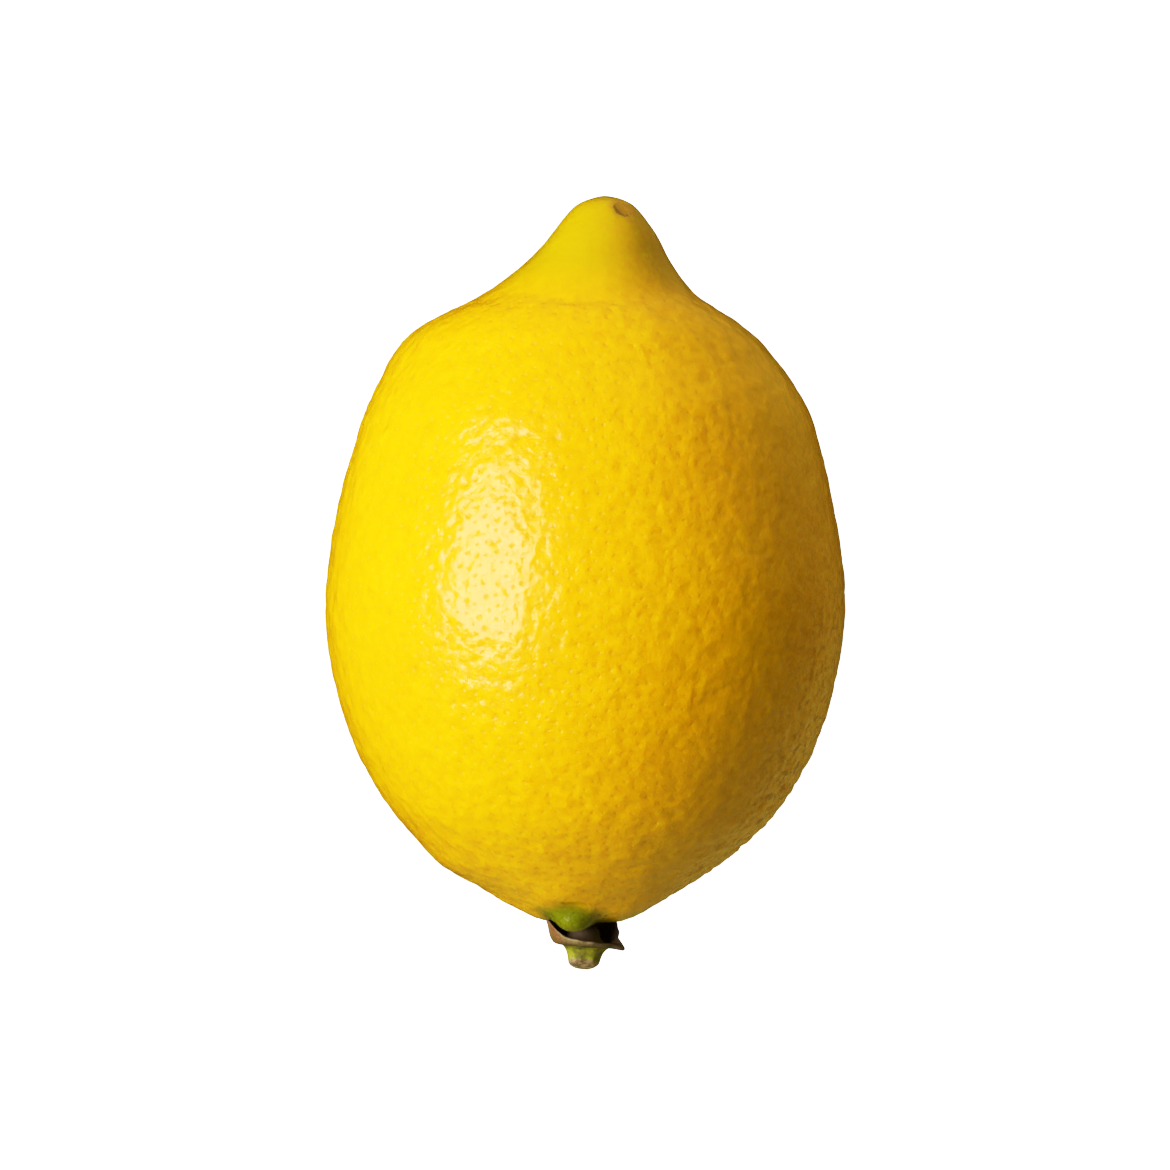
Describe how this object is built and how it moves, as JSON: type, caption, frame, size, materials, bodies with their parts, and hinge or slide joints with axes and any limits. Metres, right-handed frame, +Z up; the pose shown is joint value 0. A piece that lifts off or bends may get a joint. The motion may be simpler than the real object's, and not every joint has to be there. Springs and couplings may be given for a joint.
{
  "type": "lemon",
  "caption": "Whole ripe lemon lying on its side, with a leaning nipple, a dried calyx and a short cut stub of stalk.",
  "frame": {"origin": "middle of the small flat spot that the fruit lies on, under its centre of weight", "axes": "+Y along the fruit from the stem end to the nipple, +Z up from the surface it lies on, +X to the right seen from above with the nipple away"},
  "size_m": [0.0601, 0.089, 0.0603],
  "materials": {
    "rind": "satin",
    "calyx": "matte",
    "stalk": "matte"
  },
  "bodies": {
    "root": {"fruit": "rind", "calyx": "calyx", "stalk": "stalk"}
  },
  "joints": []
}
